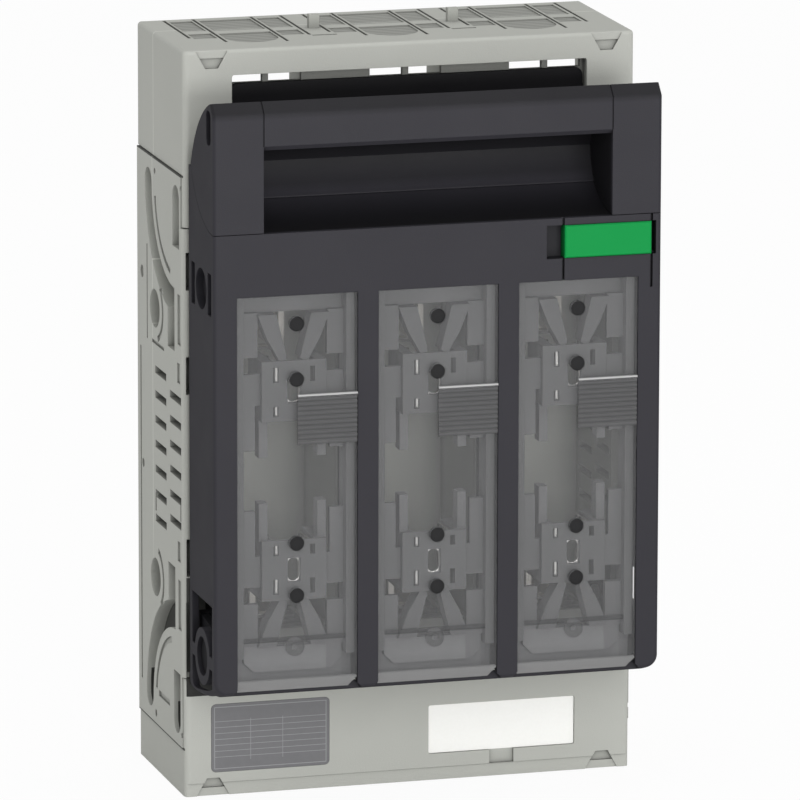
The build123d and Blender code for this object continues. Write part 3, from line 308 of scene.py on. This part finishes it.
def housing_shade_and_light(paint):
    """Painted shade on the knock-out floors and their ridges, in the cover seams and openings,
    near-black behind a hinge eye, and painted light on the bay floors.
    """
    places = paint.sides()
    y, z = places[1:]
    # Painted shade: the knock-out floors darker, their ridges as darker stripes
    floors = paint.within(places, KNOCKOUTS_TOP) + paint.within(places, KNOCKOUTS_BOTTOM)
    ridges = y.stripes(*KNOCKOUT_RIDGES)
    # Painted light on the bay floors, fading in upwards
    bay_light = paint.within(places, BAY_FLOOR) * z.fade(*BAY_FADE)
    marks = [(floors, -0.26), (floors * ridges, -0.5)]
    marks += [(paint.within(places, box), shade) for box, shade in HOUSING_SHADES]
    return [*marks, (bay_light, 0.6)]


def housing_grey():
    return moulded("housing_grey", (0.455, 0.462, 0.428), 0.50, 2400.0, 0.00006, 0.035,
                   marks=housing_shade_and_light)


def lid_painted_shade(paint):
    """Painted shade on the catch wall, brow and flanks, and in the hollow behind the handle."""
    places = x, _, z = paint.sides()
    catch = paint.within(places, CATCH_WALL)
    brow = z.fade(*BROW_FADE) * paint.within(places, BROW)
    flanks = paint.within(places, FLANKS)
    hollow = paint.within(places, HOLLOW)
    upper, foot, top = (z.fade(*f) * hollow for f in (HOLLOW_UPPER, HOLLOW_FOOT, HOLLOW_TOP))
    ends = hollow * x.above(HOLLOW_END)
    # Painted shade, by share: catch wall, brow, flanks, the hollow's upper part, foot, top and
    # ends
    return ((catch, -0.8), (brow, -0.6), (flanks, -0.16), (upper, -0.38), (foot, -0.85),
            (top, -0.85), (ends, -0.7))


def lid_charcoal():
    return moulded("lid_charcoal", (0.0275, 0.0265, 0.0325), 0.46, 2600.0, 0.00005, 0.06,
                   gloss=0.17, marks=lid_painted_shade)


def carrier_marks(paint):
    """The shaded head and rails of a fuse carrier and its pale foot plate."""
    places = paint.pole()
    head = paint.within(places, CARRIER_HEAD)
    plate = paint.within(places, CARRIER_PLATE)
    rails = places[0].size().above(CARRIER_RAIL)
    return ((head, -0.45), (plate, 0.85), (rails, -0.25))


def carrier_grey():
    return moulded("carrier_grey", (0.30, 0.30, 0.305), 0.48, 2200.0, 0.00004, gloss=0.4,
                   marks=carrier_marks)


def chute_grey():
    return moulded("chute_grey", (0.50, 0.50, 0.475), 0.62, 1800.0, 0.00006)


def bracket_black():
    return moulded("bracket_black", (0.009, 0.009, 0.011), 0.5, 2400.0, 0.00004, gloss=0.1)


def plug_black():
    return moulded("plug_black", (0.012, 0.012, 0.013), 0.62, 3000.0, 0.00003)


def lock_green():
    return moulded("lock_green", (0.004, 0.268, 0.057), 0.42, 2600.0, 0.00004, 0.03, 0.09)


def smoked_clear():
    """Smoked clear plastic with a flow haze, denser in its pad, ledge, foot, rib and boss, with a
    painted highlight on the ledge and painted shade on the pad's ribs.
    """
    paint = Paint("smoked_clear", PANE_CLEAR, 0.06)
    haze = paint.noise(14.0, 2.0, paint.stretched((1.0, 1.0, 0.35)))
    places = x, _, z = paint.pole()
    pad, rib, boss, foot, ledge = (paint.within(places, row.box) for row in PANE_THICK)
    rise = z - BOSS_HEIGHT
    boss = boss * (x * x + rise * rise).below(BOSS_RADIUS_SQUARED)
    tint = paint.blend(haze, shaded(PANE_CLEAR, -0.08), shaded(PANE_CLEAR, 0.08))
    dense = (haze - 0.5) * 0.04 + PANE_DENSITY
    # The ledge's tint painted here is a highlight
    for mask, row in zip((pad, rib, boss, foot, ledge), PANE_THICK):
        tint = paint.blend(mask, tint, row.tint)
        dense = dense + mask * row.density
    # Painted shade of the thumb pad's ribs, as darker stripes
    grooves = pad * (z - PAD_RIB_START).stripes(*PAD_RIBS)
    paint.set("Base Color", paint.blend(grooves, tint, shaded(THUMB_PAD.tint, -0.3)))
    paint.set("Roughness", 0.05 + haze * 0.05 + pad * 0.25)
    return paint.set("Alpha", dense)


def label_white():
    """White card behind a thin clear film."""
    paint = Paint("label_white", (0.965, 0.965, 0.93), 0.55)
    fibre = paint.noise(900.0, 4.0)
    paint.set("Base Color", paint.blend(fibre, (0.94, 0.94, 0.905), (0.985, 0.985, 0.955)))
    paint.set("Coat Weight", 0.35 + (paint.noise(40.0) - 0.5) * 0.1)
    return paint.bump(fibre, 0.00002)


def plate_grey():
    """A dark plate with a printed border and the empty rules of a table."""
    ground, ink = (0.150, 0.150, 0.157), (0.34, 0.34, 0.35)
    paint = Paint("plate_grey", ground, 0.38)
    x, _, z = paint.axes()
    x, z = x - PLATE_MIDDLE[0], z - PLATE_MIDDLE[1]
    half, rise = PLATE_BORDER
    side = x.size().between(half - PLATE_LINE, half) * z.size().below(rise)
    ends = z.size().between(rise - PLATE_LINE, rise) * x.size().below(half)
    inside = x.size().below(half - PLATE_LINE) * z.between(*PLATE_TABLE)
    rules = (z - PLATE_RULE_START).stripes(*PLATE_RULES)
    columns = x.between(*PLATE_COLUMNS[0]) + x.between(*PLATE_COLUMNS[1])
    print_mask = (side + ends + (rules + columns) * inside).clamp()
    scatter = paint.noise(500.0, 3.0)
    base = paint.blend(scatter, shaded(ground, -0.07), shaded(ground, 0.07))
    paint.set("Base Color", paint.blend(print_mask * 0.75, base, ink))
    return paint.set("Roughness", 0.34 + scatter * 0.10)


def metal(name, colour, roughness, along):
    """Rolled or plated metal with fine streaks along one axis."""
    paint = Paint(name, colour, roughness, 1.0)
    streaks = paint.noise(900.0, 3.0, paint.stretched(along))
    stain = paint.noise(45.0, 4.0)
    paint.set("Base Color", paint.blend(stain, shaded(colour, -0.16), colour))
    paint.set("Roughness", roughness + (streaks - 0.5) * 0.16 + (stain - 0.5) * 0.12)
    return paint.bump(streaks, 0.00001)


def silver_plated_copper():
    return metal("silver_plated_copper", (0.80, 0.77, 0.71), 0.30, (1.0, 0.12, 0.12))


def spring_steel():
    return metal("spring_steel", (0.74, 0.73, 0.71), 0.22, (0.15, 1.0, 1.0))


def plain_steel():
    return metal("plain_steel", (0.50, 0.49, 0.475), 0.42, (0.2, 1.0, 1.0))


def zinc_plated_steel():
    return metal("zinc_plated_steel", (0.66, 0.67, 0.66), 0.33, (1.0, 1.0, 0.3))


# The finish of each material slot bears the slot's name
FINISHES = (
    housing_grey, lid_charcoal, smoked_clear, plug_black, lock_green, label_white, plate_grey,
    carrier_grey, bracket_black, chute_grey, silver_plated_copper, spring_steel, plain_steel,
    zinc_plated_steel,
)


def paint_nodes():
    """Every piece of the device gets the finish of its material slot."""
    made = {finish.__name__: finish().material for finish in FINISHES}
    for row in frame["record"]["subparts"]:
        materials = frame["nodes"][row["node"]].data.materials
        materials.clear()
        materials.append(made[row["material_slot"]])


def lamp(name, place, target, size, power):
    """A large soft lamp that looks at a point."""
    data = bpy.data.lights.new(name, "AREA")
    data.shape = "RECTANGLE"
    data.size, data.size_y = size
    data.energy = power
    light = bpy.data.objects.new(name, data)
    bpy.context.scene.collection.objects.link(light)
    light.location = place
    way = Vector(target) - Vector(place)
    light.rotation_euler = way.to_track_quat("-Z", "Y").to_euler()


def backdrop():
    """A world that lights the object softly, and is plain white for the eye, gloss and glass."""
    world = bpy.data.worlds.new("studio")
    bpy.context.scene.world = world
    world.use_nodes = True
    world.node_tree.nodes.clear()
    nodes = Nodes(world.node_tree)
    white = (1.0, 1.0, 1.0, 1.0)
    lit = nodes.node("ShaderNodeBackground", {}, (white, WORLD_LIGHT))
    plain = nodes.node("ShaderNodeBackground", {}, (white, 1.0))
    seen = path = nodes.node("ShaderNodeLightPath", out="Is Camera Ray")
    for name in ("Is Glossy Ray", "Is Transmission Ray"):
        seen = seen.maths("MAXIMUM", path.beside(name))
    both = nodes.node("ShaderNodeMixShader", {}, (seen, lit, plain))
    nodes.node("ShaderNodeOutputWorld", {}, (both,))


def floor():
    """A pale floor under the foot of the device, with a clean soft shadow."""
    bpy.ops.object.select_all(action="DESELECT")
    bpy.ops.mesh.primitive_plane_add(size=FLOOR_SIZE, location=(0, 0, cad_box[0][2] - FLOOR_GAP))
    ground = bpy.context.object
    ground.name = "floor"
    paint = Paint("floor_pale", (0.93, 0.93, 0.93), 0.9)
    path = paint.node("ShaderNodeLightPath", out="Is Camera Ray")
    white = paint.node("ShaderNodeEmission", {}, {"Color": (1.0, 1.0, 1.0, 1.0), "Strength": 1.0})
    lit = Value(paint, paint.shader.outputs[0])
    seen = paint.node("ShaderNodeMixShader", {}, (path * FLOOR_WHITE, lit, white))
    paint.feed(paint.tree.nodes["Material Output"].inputs[0], seen)
    ground.data.materials.append(paint.material)


def camera():
    """The camera at the photograph's place and angle."""
    data = bpy.data.cameras.new("camera")
    data.sensor_width = 36.0
    data.lens = CAMERA_LENS
    data.clip_end = 100.0
    view = bpy.data.objects.new("camera", data)
    bpy.context.scene.collection.objects.link(view)
    view.location = [v * MM for v in CAMERA_PLACE]
    aim = Euler((math.radians(90.0 - CAMERA_DOWN), 0.0, math.radians(-CAMERA_TURN))).to_matrix()
    roll = Matrix.Rotation(math.radians(CAMERA_ROLL), 3, "Z")
    view.rotation_euler = (aim @ roll).to_euler()
    bpy.context.scene.camera = view


def studio():
    """World, lamps, floor and camera."""
    backdrop()
    for row in LAMPS:
        lamp(*row)
    floor()
    camera()
    bpy.context.scene.view_settings.view_transform = "Standard"


studio()
paint_nodes()
